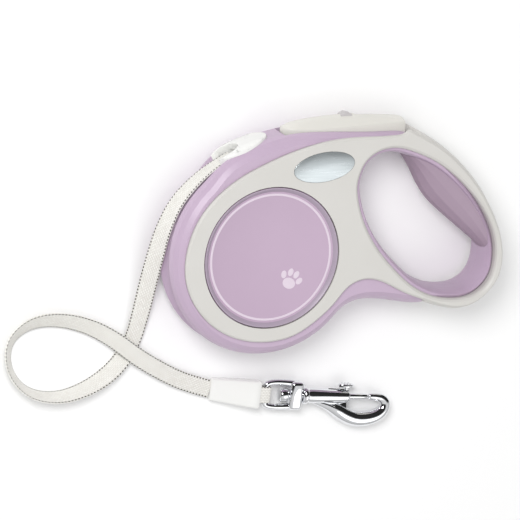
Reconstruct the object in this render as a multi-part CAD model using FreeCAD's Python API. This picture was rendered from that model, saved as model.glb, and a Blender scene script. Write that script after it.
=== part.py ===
import FreeCAD, Part
import math
import os
from FreeCAD import Vector

os.makedirs("parts", exist_ok=True)

# Retractable leash lying on its rear face, in millimetres.
# Origin: the drum axis where it meets the surface the leash lies on.
# +Z is through the thickness of the case, +X towards the hand grip, +Y towards the brake button.

# ---- case -------------------------------------------------------------------
CASE_DEPTH = 28.0                # rear face to front face
MID = CASE_DEPTH / 2             # plane where the two shells meet
DRUM_R = 47.8                    # case radius round the drum, at its two rims
RIM_OFF = 6.0                    # rims stand this far from the mid-plane
GROOVE_FLOOR_R = 45.3            # the finger groove between the rims
GROOVE_ROUND = 7.3               # radius of the groove's section
GROOVE_START = 117.0             # degrees round the drum, from behind the tape guide
GROOVE_END = 312.0
CHAMBER_R = 43.3                 # room the drum turns in
WALL = 2.3
COVER_Z = 25.4                   # underside of the front cover
PLATE_Z = 23.4                   # inside of the front shell's plate
GAP = 0.1                        # between neighbouring case pieces
HOLE_SWELL = 3.2                 # the hand hole's wall stands this far in at the mid-plane
HOLE_SWELL_HALF = 12.0
BADGE_R = 33.2
BADGE_RECESS_R = 33.8
RING_R = 29.6                    # raised ring on each badge
SCREW_PLACES = [(37.0, 44.6), (54.5, -17.6), (70.6, 50.3)]
BOSS_R = 3.0
SCREW_R = 1.2
SCREW_HEAD_R = 2.3
SCREW_SEAT = 2.6                 # the heads sit at this height, sunk in the rear cover

# ---- drum, tape and mainspring -------------------------------------------------
AXLE_R = 3.0
RUNNING = 0.05                   # radial clearance of a turning fit
HUB_R = 17.2
HUB_WALL = 1.6
FLANGE_R = 41.5
FLANGE_T = 1.2
TAPE_WIDTH = 8.5
TAPE_T = 0.8
TAPE_TOTAL = 5000.0              # whole tape, wound and free
TAPE_FREE = 300.0                # the stretch outside the case
TAPE_TUBE_R = 1.5                # round stand-in of about the tape's own section
CHANNEL_HALF = 2.0               # the tape's way through the guide's lip, towards the drum
CHANNEL_OPEN = 9.0               # and outwards, where the lip is open
CHANNEL_RISE = 4.8               # and above and below the mid-plane
TEETH = 24
TOOTH_DEPTH = 2.5
RATCHET_T = 2.2
NOTCH_ANGLE = 69.5               # a notch stands under the pawl's tooth
SPRING_STRIP = 0.3
SPRING_TURNS = 9
SPRING_PITCH = 1.0

# ---- brake --------------------------------------------------------------------
BUTTON_LOW = 7.6
BUTTON_HIGH = 20.4
BUTTON_PIVOT = Vector(62.5, 53.6, 0)
PAWL_PIVOT = Vector(30.0, 46.5, 0)
PIN_R = 1.0
SLIDER_TRAVEL = 4.0

# ---- swivel eye and snap hook, on their own axis --------------------------------
HOOK_ORIGIN = Vector(7.2, -72.2, 4.5)
HOOK_TURN = -4.8                 # degrees about Z
EYE_BAR_U = 3.2
EYE_BAR_R = 1.4
EYE_HALF = 5.8                   # bar's arms either side of the axis
NECK_R = 1.9
BARREL_R = 3.6
BARREL_START = 24.6
BARREL_END = 46.0
BOLT_R = 1.45
BOLT_BORE_R = 1.5
BOLT_TRAVEL = 8.0

# Control points of the free tape, from the guide's mouth to the sleeve.
TAPE_ROUTE = [
    (-19.9, 44.1, 14.0), (-26.2, 39.6, 14.0), (-35.3, 34.0, 13.9), (-43.0, 25.0, 13.6),
    (-48.2, 12.5, 12.8), (-50.6, -1.0, 11.4), (-52.2, -15.0, 8.2), (-53.8, -29.5, 4.6),
    (-56.3, -43.5, 1.7), (-63.5, -55.3, 1.7), (-76.5, -64.0, 3.0), (-93.0, -68.6, 4.2),
    (-109.0, -65.2, 4.3), (-118.8, -53.5, 4.1), (-119.4, -39.5, 3.8), (-109.0, -31.0, 3.6),
    (-94.5, -30.2, 3.7), (-79.5, -34.3, 5.2), (-67.0, -41.2, 7.8), (-55.0, -50.6, 7.8),
    (-42.0, -58.6, 5.0), (-29.5, -65.0, 2.8), (-16.8, -68.9, 2.1),
]


# ---- helpers --------------------------------------------------------------------
def save(name, shape):
    """Write one node, after checking that it is sound."""
    shape = shape.removeSplitter()
    if not shape.isValid():
        print("not valid:", name)
    print(f"{name}: {len(shape.Solids)} solid(s), {shape.Volume:.0f} mm3")
    shape.exportStep(f"parts/{name}.step")


def polar(radius, degrees, z=0.0):
    angle = math.radians(degrees)
    return Vector(radius * math.cos(angle), radius * math.sin(angle), z)


def cylinder(radius, low, high, x=0.0, y=0.0):
    return Part.makeCylinder(radius, high - low, Vector(x, y, low))


def box(low, high):
    low = Vector(*low)
    size = Vector(*high) - low
    return Part.makeBox(size.x, size.y, size.z, low)


def tube(outer, inner, low, high, x=0.0, y=0.0):
    return cylinder(outer, low, high, x, y).cut(cylinder(inner, low - 1, high + 1, x, y))


def fuse(shapes):
    return shapes[0].multiFuse(shapes[1:]).removeSplitter()


def closed_spline(points, grow, z):
    """Smooth closed outline through points given anticlockwise, moved outwards by grow."""
    curve = Part.BSplineCurve()
    curve.interpolate(Points=[Vector(x, y, 0) for x, y in points], PeriodicFlag=True)
    moved = []
    for x, y in points:
        tangent = curve.tangent(curve.parameter(Vector(x, y, 0)))[0]
        moved.append(Vector(x + grow * tangent.y, y - grow * tangent.x, z))
    outline = Part.BSplineCurve()
    outline.interpolate(Points=moved, PeriodicFlag=True)
    return Part.Wire([outline.toShape()])


def prism(points, grow, low, high):
    face = Part.Face(closed_spline(points, grow, low))
    return face.extrude(Vector(0, 0, high - low))


def stack(points, levels):
    """Solid through the outline at each (z, grow) level, straight between levels."""
    wires = [closed_spline(points, grow, z) for z, grow in levels]
    return Part.makeLoft(wires, True, True)


def plate(points, low, high):
    """Flat piece with a straight-sided outline in the XY plane."""
    corners = [Vector(x, y, low) for x, y in points]
    face = Part.Face(Part.makePolygon(corners + corners[:1]))
    return face.extrude(Vector(0, 0, high - low))


def mirrored(shape):
    """The same piece on the other side of the mid-plane."""
    return shape.mirror(Vector(0, 0, MID), Vector(0, 0, 1))


def coil_spring(radius, wire_r, length, turns, base, direction):
    """Round-wire compression spring from base along direction."""
    helix = Part.makeHelix(length / turns, length, radius)
    circle = Part.Wire([Part.Circle(Vector(radius, 0, 0), Vector(0, 1, 0), wire_r).toShape()])
    spring = Part.Wire(helix).makePipeShell([circle], True, True)
    turn = FreeCAD.Rotation(Vector(0, 0, 1), direction)
    spring.Placement = FreeCAD.Placement(base, turn).multiply(spring.Placement)
    return spring


def on_hook(shape):
    """Move a piece from the hook's own axes, where X runs along it, to its place."""
    turn = FreeCAD.Rotation(Vector(0, 0, 1), HOOK_TURN)
    moved = shape.copy()
    moved.Placement = FreeCAD.Placement(HOOK_ORIGIN, turn).multiply(moved.Placement)
    return moved


def rod(radius, start, end):
    start, end = Vector(*start), Vector(*end)
    return Part.makeCylinder(radius, (end - start).Length, start, end - start)


# ---- outlines of the case, seen from the front, anticlockwise --------------------
drum_arc = [(polar(DRUM_R, a).x, polar(DRUM_R, a).y) for a in range(135, 316, 15)]
CORE = drum_arc + [
    (40.2, -27.4), (48.3, -24.4), (57.3, -24.6), (67.0, -26.2), (77.0, -27.6), (87.0, -27.0),
    (96.2, -27.2), (104.0, -25.6), (110.4, -21.2), (114.8, -14.6), (116.0, -7.0), (114.6, 3.0),
    (110.6, 12.6), (104.8, 22.6), (97.4, 32.0), (88.0, 41.4), (79.0, 48.2), (72.5, 52.4),
    (66.5, 55.4), (59.0, 56.2), (47.5, 56.3), (35.0, 56.9), (22.5, 57.3), (10.0, 56.9),
    (0.0, 55.0), (-9.5, 52.1), (-18.5, 48.4), (-26.6, 42.4),
]
FACE = [
    (-10.5, 42.0), (-25.0, 33.0), (-36.0, 20.8), (-41.8, 5.5), (-41.8, -9.0), (-36.3, -21.8),
    (-26.8, -31.9), (-14.0, -38.4), (0.0, -40.4), (13.0, -38.2), (24.5, -31.4), (33.5, -23.2),
    (40.0, -16.0), (47.5, -13.0), (56.0, -14.3), (67.0, -19.8), (80.0, -25.0), (92.0, -28.6),
    (102.0, -28.5), (111.0, -23.2), (116.6, -15.2), (118.0, -6.0), (116.2, 4.5), (111.0, 16.2),
    (102.5, 29.5), (91.0, 41.8), (79.7, 50.3), (72.2, 54.5), (68.4, 56.6), (66.2, 57.1),
    (64.6, 56.0), (60.5, 55.0), (52.0, 54.8), (39.0, 54.9), (22.0, 53.1), (5.5, 48.6),
]
HOLE = [
    (41.9, 29.5), (46.8, 13.0), (53.7, 1.5), (63.2, -9.3), (73.4, -18.1), (84.5, -23.4),
    (95.5, -25.0), (105.0, -23.2), (111.5, -17.6), (114.3, -8.4), (114.0, 1.0), (110.0, 11.9),
    (102.5, 23.0), (92.9, 32.8), (82.5, 40.6), (71.0, 46.2), (60.0, 49.1), (52.0, 47.8),
    (45.8, 43.4), (42.6, 36.8),
]
# The cover's turned-down side round the grip, from the fork to the end of the button.
HANDLE_SIDE = FACE[16:28]
# Grip pad: where it leaves the hole's edge, and how far it swells at the mid-plane.
PAD_BASE = [
    (113.2, 3.8), (109.6, 12.4), (103.8, 21.2), (96.8, 29.2), (88.8, 36.2), (80.5, 41.7),
    (72.5, 45.6),
]
PAD_SWELL = [
    (107.6, -0.2), (99.8, 6.2), (90.8, 13.6), (83.2, 20.4), (77.8, 27.4), (74.4, 34.2),
    (70.8, 40.4),
]
PAD_START = (114.2, -7.0)
PAD_END = (62.0, 48.9)

GUIDE_CENTRE = Vector(-13.9, 49.6, MID)
GUIDE_ALONG = Vector(0.908, 0.419, 0)
GUIDE_OUT = Vector(-0.419, 0.908, 0)


def core_solid(grow):
    """The lilac body of the case, filled in, from the rear cover's seat to the front one's."""
    shoulder = [(RIM_OFF, 0.0), (8.4, -0.8), (10.4, -2.4), (12.0, -4.6)]
    upper = [(MID + off, step + grow) for off, step in shoulder]
    lower = [(MID - off, step + grow) for off, step in reversed(shoulder)]
    return stack(CORE, lower + upper)


def hand_hole(grow):
    """The hand hole in the shells: its wall swells inwards, most at the mid-plane."""
    steps = (0.0, 4.0, 7.0, 9.4, 11.0, 11.9)
    half = [(off, grow - HOLE_SWELL * math.sqrt(1 - (off / HOLE_SWELL_HALF) ** 2)) for off in steps]
    levels = [(MID - off, step) for off, step in reversed(half)] + [(MID + off, step) for off, step in half[1:]]
    ends = [prism(HOLE, grow, -1, MID - steps[-1]), prism(HOLE, grow, MID + steps[-1], CASE_DEPTH + 1)]
    return stack(HOLE, levels).multiFuse(ends)


def groove_cutter():
    """Finger groove round the drum's wall, with round ends."""
    major = GROOVE_FLOOR_R + GROOVE_ROUND
    sweep = GROOVE_END - GROOVE_START
    ring = Part.makeTorus(major, GROOVE_ROUND, Vector(0, 0, MID), Vector(0, 0, 1), 0, 360, sweep)
    ring.rotate(Vector(0, 0, 0), Vector(0, 0, 1), GROOVE_START)
    ends = [Part.makeSphere(GROOVE_ROUND, polar(major, a, MID)) for a in (GROOVE_START, GROOVE_END)]
    return ring.multiFuse(ends)


def tape_channel():
    """Way of the standing tape out of the guide's mouth and into the groove."""
    first, second, third = [Vector(x, y, 0) for x, y, _ in TAPE_ROUTE[:3]]
    heading = (second - first).normalize()
    inwards = Vector(-heading.y, heading.x, 0)
    start, turn = first - heading * 1.5, second + heading * 0.5
    drum_side, open_side = inwards * CHANNEL_HALF, inwards * -CHANNEL_OPEN
    corners = [start + open_side, start + drum_side, turn + drum_side, third + drum_side,
               third + open_side, turn + open_side]
    return plate([(p.x, p.y) for p in corners], MID - CHANNEL_RISE, MID + CHANNEL_RISE)


def oval_plug(grow, inner, outer, long_r, short_r, centre):
    """Oval prism through the case wall, its axis along the guide's outward direction."""
    ellipse = Part.Ellipse(Vector(0, 0, 0), long_r + grow, short_r + grow)
    face = Part.Face(Part.Wire([ellipse.toShape()]))
    plug = face.extrude(Vector(0, 0, outer - inner))
    axes = FreeCAD.Rotation(GUIDE_ALONG, Vector(0, 0, -1), GUIDE_OUT, "ZXY")
    plug.Placement = FreeCAD.Placement(centre + GUIDE_OUT * inner, axes)
    return plug


def guide_block(grow):
    return oval_plug(grow, -12.0, 6.0, 14.6, 8.8, GUIDE_CENTRE)


def button_opening():
    return box((6.2, 49.0, BUTTON_LOW - 0.4), (68.2, 70.0, BUTTON_HIGH + 0.4))


# ---- shells ---------------------------------------------------------------------
def front_half():
    """Front shell without the features that differ from the rear one."""
    shell = core_solid(0.0).cut(groove_cutter())
    shell = shell.common(box((-60, -60, MID), (130, 70, CASE_DEPTH)))
    shell = shell.cut(prism(FACE, GAP, COVER_Z, CASE_DEPTH))
    shell = shell.cut(hand_hole(-0.3))
    shell = shell.cut(cylinder(CHAMBER_R, MID - 1, PLATE_Z))
    inside = prism(CORE, -WALL, MID - 1, PLATE_Z - 0.6)
    rooms = box((2, 20, MID - 1), (130, 70, PLATE_Z)).fuse(box((40, -40, MID - 1), (130, 25, PLATE_Z)))
    shell = shell.cut(inside.common(rooms).cut(prism(HOLE, WALL - 0.3, 0, CASE_DEPTH)))
    boss = tube(AXLE_R + 2.6, AXLE_R + RUNNING, MID + 6.8, PLATE_Z + 0.5)
    room = core_solid(-GAP)
    pillars = [cylinder(BOSS_R, MID, PLATE_Z + 0.5, x, y).common(room) for x, y in SCREW_PLACES]
    shell = shell.multiFuse([boss] + pillars)
    return shell.cut(guide_block(GAP)).cut(button_opening()).cut(tape_channel())


def screw_holes(radius, low, high):
    return [cylinder(radius, low, high, x, y) for x, y in SCREW_PLACES]


half = front_half()
front_shell = half.cut(Part.makeCompound(screw_holes(SCREW_R + RUNNING, MID - 1, PLATE_Z - 1.5)))
front_shell = front_shell.common(box((-60, -60, MID + RUNNING), (130, 70, CASE_DEPTH)))
rear_shell = mirrored(half).cut(Part.makeCompound(screw_holes(SCREW_R + 0.2, -1, MID + 1)))
rear_shell = rear_shell.cut(Part.makeCompound(screw_holes(SCREW_HEAD_R + GAP, -1, SCREW_SEAT)))
save("front_shell", front_shell)
save("rear_shell", rear_shell)


# ---- covers ----------------------------------------------------------------------
def handle_side(grow, z):
    """Outline of the turned-down side at one level: the grip's outside, closed through the hand hole."""
    curve = Part.BSplineCurve()
    curve.interpolate([Vector(x, y, 0) for x, y in HANDLE_SIDE])
    moved = []
    for x, y in HANDLE_SIDE:
        tangent = curve.tangent(curve.parameter(Vector(x, y, 0)))[0]
        moved.append(Vector(x + grow * tangent.y, y - grow * tangent.x, z))
    side = Part.BSplineCurve()
    side.interpolate(moved)
    inner = [moved[-1], Vector(64, 48, z), Vector(74, -14, z), moved[0]]
    return Part.Wire([side.toShape()] + Part.makePolygon(inner).Edges)


def front_cover_blank():
    face_plate = stack(FACE, [(COVER_Z, 0.0), (CASE_DEPTH - 0.8, 0.0), (CASE_DEPTH, -0.8)])
    levels = [(MID + 0.1, 1.5), (21.5, 1.5), (24.6, 1.1), (26.4, 0.3), (27.4, -0.8)]
    side = Part.makeLoft([handle_side(grow, z) for z, grow in levels], True, True)
    side = side.cut(core_solid(GAP))
    cover = face_plate.fuse(side)
    edge = stack(HOLE, [(COVER_Z + 0.9, 0.0), (CASE_DEPTH - 0.6, 0.5), (CASE_DEPTH + 0.01, 1.5)])
    cover = cover.cut(prism(HOLE, 0.0, 0, CASE_DEPTH)).cut(edge)
    return cover.cut(cylinder(BADGE_RECESS_R, COVER_Z - 1, CASE_DEPTH + 1))


LABEL_CENTRE = Vector(23.9, 42.0, 0)
LABEL_LONG, LABEL_SHORT, LABEL_TURN = 15.2, 7.0, 7.0


def label_oval(grow, low, high):
    ellipse = Part.Ellipse(Vector(0, 0, 0), LABEL_LONG + grow, LABEL_SHORT + grow)
    oval = Part.Face(Part.Wire([ellipse.toShape()])).extrude(Vector(0, 0, high - low))
    turn = FreeCAD.Rotation(Vector(0, 0, 1), LABEL_TURN)
    oval.Placement = FreeCAD.Placement(LABEL_CENTRE + Vector(0, 0, low), turn)
    return oval


cover = front_cover_blank().cut(label_oval(GAP, CASE_DEPTH - 0.7, CASE_DEPTH + 1))
rear_cover = mirrored(cover).cut(Part.makeCompound(screw_holes(SCREW_HEAD_R + GAP, -1, MID)))
save("front_cover", cover)
save("rear_cover", rear_cover)

badge = cylinder(BADGE_R, COVER_Z + GAP, CASE_DEPTH - 0.5)
badge = badge.fuse(tube(RING_R + 0.6, RING_R - 0.6, CASE_DEPTH - 0.6, CASE_DEPTH - 0.3))
save("front_badge", badge)
# The rear badge lies level with its cover, so that the leash rests flat; its ring is engraved.
rear_badge = cylinder(BADGE_R, 0, CASE_DEPTH - COVER_Z - GAP)
save("rear_badge", rear_badge.cut(tube(RING_R + 0.6, RING_R - 0.6, -1, 0.3)))

label = label_oval(0, CASE_DEPTH - 0.6, CASE_DEPTH + 0.2)
save("front_label_plate", label)
save("rear_label_plate", mirrored(label_oval(0, CASE_DEPTH - 0.6, CASE_DEPTH - 0.1)))


# ---- grip pad ---------------------------------------------------------------------
def pad_section(z):
    """The pad at one level: its swell follows half an ellipse through the thickness."""
    share = math.sqrt(1 - ((z - MID) / 10.4) ** 2)
    inner = [Vector(*PAD_START, z)]
    for base, swell in zip(PAD_BASE, PAD_SWELL):
        inner.append(Vector(*base, z) + (Vector(*swell, z) - Vector(*base, z)) * share)
    inner.append(Vector(*PAD_END, z))
    outer = [Vector(x + 3, y + 3, z) for x, y in [PAD_START] + PAD_BASE + [PAD_END]]
    front, back = Part.BSplineCurve(), Part.BSplineCurve()
    front.interpolate(inner)
    back.interpolate(outer)
    joins = [Part.makeLine(inner[-1], outer[-1]), Part.makeLine(outer[0], inner[0])]
    return Part.Wire(Part.sortEdges([front.toShape(), joins[0], back.toShape(), joins[1]])[0])


pad_levels = [MID + off for off in (-10.2, -9.2, -7.0, -3.5, 0, 3.5, 7.0, 9.2, 10.2)]
pad = Part.makeLoft([pad_section(z) for z in pad_levels], True, True)
pad = pad.common(hand_hole(-0.3 - GAP))
save("grip_pad", pad)

# ---- tape guide ---------------------------------------------------------------------
MOUTH_CENTRE = GUIDE_CENTRE + GUIDE_ALONG * -6.2
guide = guide_block(0.0).common(core_solid(1.3)).cut(cylinder(CHAMBER_R + 0.2, 0, CASE_DEPTH))
guide = guide.cut(oval_plug(0, -14.0, 8.0, 6.3, 5.4, MOUTH_CENTRE))
slot_way = box((-20, 38, MID - 4.7), (8, 47.6, MID + 4.7))
guide = guide.cut(slot_way).cut(tape_channel())
save("tape_guide", guide)

# ---- axle, drum and its contents ----------------------------------------------------
AXLE_LOW = CASE_DEPTH - PLATE_Z + 0.1
axle = cylinder(AXLE_R, AXLE_LOW, CASE_DEPTH - AXLE_LOW)
save("axle", axle.makeChamfer(0.4, [e for e in axle.Edges if e.Closed]))

coil_low = MID - TAPE_WIDTH / 2
coil_high = MID + TAPE_WIDTH / 2
hub_low = coil_low - 0.45 - FLANGE_T
hub_high = coil_high + 0.45
hub = tube(HUB_R, HUB_R - HUB_WALL, hub_low, hub_high)
hub = hub.fuse(tube(FLANGE_R, AXLE_R + RUNNING, hub_low, hub_low + FLANGE_T))
hub = hub.fuse(tube(AXLE_R + 1.8, AXLE_R + RUNNING, hub_low, hub_high))
anchor_slot = box((HUB_R - HUB_WALL - 1, -1.2, coil_low - 0.2), (HUB_R + 1, 1.2, coil_high + 0.2))
save("reel_hub", hub.cut(anchor_slot))


def ratchet_flange():
    flange = tube(FLANGE_R, HUB_R - HUB_WALL, hub_high + 0.02, hub_high + 0.02 + FLANGE_T)
    ring_low = hub_high + 0.02
    ring = tube(FLANGE_R, FLANGE_R - TOOTH_DEPTH - 1.6, ring_low, ring_low + RATCHET_T)
    step = 360 / TEETH
    notches = []
    for tooth in range(TEETH):
        notch = box((FLANGE_R - TOOTH_DEPTH, -2.7, ring_low - 1), (FLANGE_R + 2, 2.7, ring_low + 4))
        notch.rotate(Vector(0, 0, 0), Vector(0, 0, 1), NOTCH_ANGLE + tooth * step)
        notches.append(notch)
    return flange.fuse(ring).cut(Part.makeCompound(notches))


save("ratchet_flange", ratchet_flange())
RATCHET_LOW = hub_high + 0.02
save("spring_cover", tube(HUB_R - HUB_WALL - 0.05, AXLE_R + 1.85, hub_high - 0.9, hub_high))

wound_length = TAPE_TOTAL - TAPE_FREE
wound_r = math.sqrt(HUB_R ** 2 + wound_length * TAPE_T / math.pi)
save("wound_tape", tube(wound_r, HUB_R + 0.05, coil_low, coil_high))
save("tape_anchor_pin", cylinder(0.7, coil_low, coil_high, HUB_R - 0.8, 0))


def mainspring():
    """Flat spiral strip inside the hub."""
    steps = SPRING_TURNS * 12
    inner, outer = [], []
    for i in range(steps + 1):
        radius = AXLE_R + 2.4 + SPRING_PITCH * i / 12
        inner.append(polar(radius, 30.0 * i, coil_low + 0.2))
        outer.append(polar(radius + SPRING_STRIP, 30.0 * i, coil_low + 0.2))
    walls = []
    for points in (inner, outer):
        curve = Part.BSplineCurve()
        curve.interpolate(points)
        walls.append(curve.toShape())
    ends = [Part.makeLine(inner[0], outer[0]), Part.makeLine(inner[-1], outer[-1])]
    face = Part.Face(Part.Wire(Part.sortEdges(walls + ends)[0]))
    return face.extrude(Vector(0, 0, TAPE_WIDTH - 1.2))


save("mainspring", mainspring())

# ---- the tape between the coil and the guide's mouth ----------------------------------
leave = polar(wound_r + 0.8, 72.0)
mouth = Vector(-18.6, 45.2, 0)
run = mouth - leave
side = Vector(-run.y, run.x, 0).normalize() * (TAPE_T / 2)
run_corners = [leave + side, mouth + side, mouth - side, leave - side]
save("tape_inner_run", plate([(p.x, p.y) for p in run_corners], coil_low, coil_high))

# ---- screws --------------------------------------------------------------------------
screws = []
for x, y in SCREW_PLACES:
    shank = cylinder(SCREW_R, SCREW_SEAT - 0.5, PLATE_Z - 2, x, y)
    head = cylinder(SCREW_HEAD_R, SCREW_SEAT - 1.0, SCREW_SEAT - 0.05, x, y)
    socket = box((x - 1.3, y - 0.25, SCREW_SEAT - 1.1), (x + 1.3, y + 0.25, SCREW_SEAT - 0.5))
    screws.append(shank.fuse(head).cut(socket))
save("case_screws", Part.makeCompound(screws))

# ---- brake button ----------------------------------------------------------------------
# Sections along the button: x, half width, height of the side edge, height of the crown.
BUTTON_SECTIONS = [
    (7.4, 2.2, 58.6, 59.4), (11.0, 4.2, 58.3, 60.5), (17.8, 5.6, 58.0, 61.6), (26.0, 6.2, 58.2, 62.7),
    (35.0, 6.4, 58.8, 63.3), (44.0, 6.4, 59.2, 63.5), (54.0, 6.4, 59.6, 62.7), (62.5, 6.4, 59.8, 61.6),
    (67.4, 6.4, 59.4, 60.8),
]
BUTTON_BASE_Y = 54.8
POST_X = 14.5
PAWL_LOW = RATCHET_LOW + 0.2
PAWL_HIGH = PAWL_LOW + 1.7


def button_section(x, half, edge_y, crown_y):
    low_side = [Vector(x, BUTTON_BASE_Y, MID - half), Vector(x, edge_y, MID - half)]
    high_side = [Vector(x, edge_y, MID + half), Vector(x, BUTTON_BASE_Y, MID + half)]
    crown = Part.Arc(low_side[1], Vector(x, crown_y, MID), high_side[0]).toShape()
    lines = [Part.makeLine(*low_side), Part.makeLine(*high_side), Part.makeLine(high_side[1], low_side[0])]
    return Part.Wire([lines[0], crown, lines[1], lines[2]])


def brake_button():
    button = Part.makeLoft([button_section(*section) for section in BUTTON_SECTIONS], True, True)
    lug = cylinder(2.0, BUTTON_LOW + 0.4, BUTTON_HIGH - 0.4, BUTTON_PIVOT.x, BUTTON_PIVOT.y)
    post = box((POST_X - 1, 48.35, MID + 2.0), (POST_X + 1, 58.0, MID + 6.2))
    groove = box((35.0, 62.6, MID - 2.8), (62.0, 70.0, MID + 2.8))
    slot = box((37.6, 50.0, MID - 1.0), (46.0, 70.0, MID + 1.0))
    pin_hole = cylinder(PIN_R + RUNNING, 0, CASE_DEPTH, BUTTON_PIVOT.x, BUTTON_PIVOT.y)
    return button.fuse(lug).cut(groove).cut(slot).cut(pin_hole).fuse(post)


save("brake_button", brake_button())
save("button_pin", cylinder(PIN_R, 4.4, CASE_DEPTH - 4.4, BUTTON_PIVOT.x, BUTTON_PIVOT.y))
spring_base = Vector(50.0, 49.3, MID)
save("button_spring", coil_spring(2.0, 0.3, 4.6, 4, spring_base, Vector(0, 1, 0)))

slider = plate([(35.6, 62.9), (42.4, 62.9), (41.4, 63.9), (39.0, 64.6), (36.8, 63.9)], MID - 2.4, MID + 2.4)
slider = slider.fuse(box((38.2, 57.0, MID - 0.7), (41.4, 63.2, MID + 0.7)))
save("lock_slider", slider)

# ---- pawl ------------------------------------------------------------------------------
pawl = plate([(30.0, 44.3), (30.0, 48.8), (20.0, 48.4), (10.6, 47.6), (10.6, 45.2), (12.1, 40.7),
              (14.2, 39.7), (15.6, 44.0), (22.0, 45.2)], PAWL_LOW, PAWL_HIGH)
pawl = pawl.fuse(cylinder(2.5, PAWL_LOW, PAWL_HIGH, PAWL_PIVOT.x, PAWL_PIVOT.y))
pawl = pawl.cut(cylinder(PIN_R + RUNNING, 0, CASE_DEPTH, PAWL_PIVOT.x, PAWL_PIVOT.y))
save("brake_pawl", pawl)
save("pawl_pin", cylinder(PIN_R, 16.5, CASE_DEPTH - 4.4, PAWL_PIVOT.x, PAWL_PIVOT.y))

# ---- free tape -------------------------------------------------------------------------
def route_wire(points):
    """Straight runs joined by tangent arcs, each as large as its two runs allow."""
    points = [Vector(*p) for p in points]
    edges, start = [], points[0]
    for before, corner, after in zip(points, points[1:], points[2:]):
        back, ahead = before - corner, after - corner
        shorter = min(back.Length, ahead.Length)
        back.normalize()
        ahead.normalize()
        half_turn = (math.pi - back.getAngle(ahead)) / 2
        radius = 0.45 * shorter / math.tan(half_turn)
        print(f"tape arc at ({corner.x:.0f}, {corner.y:.0f}): radius {radius:.0f} mm")
        enter, leave_at = corner + back * (0.45 * shorter), corner + ahead * (0.45 * shorter)
        bisector = (back + ahead).normalize()
        centre_way = radius / math.cos(half_turn)
        middle = corner + bisector * (centre_way - radius)
        edges.append(Part.LineSegment(start, enter).toShape())
        edges.append(Part.Arc(enter, middle, leave_at).toShape())
        start = leave_at
    edges.append(Part.LineSegment(start, points[-1]).toShape())
    return Part.Wire(edges)


def route_tube(points, radius):
    path = route_wire(points)
    heading = Vector(*points[1]) - Vector(*points[0])
    section = Part.Wire([Part.Circle(Vector(*points[0]), heading, radius).toShape()])
    solid = path.makePipeShell([section], True, False)
    expected = math.pi * radius ** 2 * path.Length
    print(f"tape tube: length {path.Length:.1f} mm, volume {solid.Volume:.0f} of {expected:.0f} mm3")
    return solid


save("leash_tape", route_tube(TAPE_ROUTE, TAPE_TUBE_R))


# ---- sleeve and the tape's end loop ------------------------------------------------------
SLEEVE_LENGTH = 24.2


def sleeve_end(u, centre_v, half_v, low_w, high_w):
    corners = [Vector(u, centre_v + side * half_v, w) for side, w in
               ((-1, low_w), (1, low_w), (1, high_w), (-1, high_w))]
    return Part.makePolygon(corners + corners[:1])


sleeve = Part.makeLoft([sleeve_end(-SLEEVE_LENGTH, 1.3, 5.4, -4.2, -0.6),
                        sleeve_end(0.0, 0.0, 6.8, -2.9, 2.9)], True, True)
save("tape_sleeve", on_hook(sleeve.makeFillet(0.8, [e for e in sleeve.Edges if abs(e.tangentAt(0).x) > 0.9])))
loop = rod(EYE_BAR_R + RUNNING + TAPE_T, (EYE_BAR_U, -4.2, 0), (EYE_BAR_U, 4.2, 0))
loop = loop.fuse(box((0.0, -4.2, -2.25), (EYE_BAR_U, 4.2, 2.25)))
inner = rod(EYE_BAR_R + RUNNING, (EYE_BAR_U, -5, 0), (EYE_BAR_U, 5, 0))
loop = loop.cut(inner.fuse(box((-1.0, -5.0, -1.45), (EYE_BAR_U, 5.0, 1.45))))
save("tape_end_loop", on_hook(loop))


# ---- swivel eye --------------------------------------------------------------------------
EYE_BLOCK = (15.2, 21.8)
EYE_BLOCK_HALF = (6.6, 3.3)


def swivel_eye():
    pieces = [rod(EYE_BAR_R, (EYE_BAR_U, -EYE_HALF, 0), (EYE_BAR_U, EYE_HALF, 0))]
    for side in (-1, 1):
        v = side * EYE_HALF
        pieces.append(Part.makeSphere(EYE_BAR_R, Vector(EYE_BAR_U, v, 0)))
        pieces.append(rod(EYE_BAR_R, (EYE_BAR_U, v, 0), (EYE_BLOCK[0] + 1, v, 0)))
    half_v, half_w = EYE_BLOCK_HALF
    block = box((EYE_BLOCK[0], -half_v, -half_w), (EYE_BLOCK[1], half_v, half_w))
    pieces.append(block.makeFillet(1.4, block.Edges))
    eye = pieces[0].multiFuse(pieces[1:])
    return eye.cut(rod(NECK_R + RUNNING, (12, 0, 0), (24, 0, 0)))


save("swivel_eye", on_hook(swivel_eye()))

# ---- snap hook ---------------------------------------------------------------------------
# The hook's bar: place along and across the hook's axis, and radius.
HOOK_BAR = [
    (29.0, -1.0, 2.3), (35.5, -3.1, 2.7), (40.8, -6.2, 3.0), (45.6, -9.1, 3.1), (50.4, -10.5, 3.2),
    (55.8, -10.4, 3.3), (60.6, -8.9, 3.1), (64.0, -6.2, 2.8), (65.0, -3.2, 2.5), (63.2, -0.9, 2.1),
    (60.0, 0.0, 1.7), (56.5, 0.0, 1.5),
]


def bar_section(index):
    """Round section of the hook's bar, square to the line through its neighbours."""
    u, v, radius = HOOK_BAR[index]
    before = HOOK_BAR[max(index - 1, 0)]
    after = HOOK_BAR[min(index + 1, len(HOOK_BAR) - 1)]
    heading = math.degrees(math.atan2(after[1] - before[1], after[0] - before[0]))
    circle = Part.Wire([Part.Circle(Vector(0, 0, 0), Vector(1, 0, 0), radius).toShape()])
    circle.Placement = FreeCAD.Placement(Vector(u, v, 0), FreeCAD.Rotation(Vector(0, 0, 1), heading))
    return circle


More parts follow.
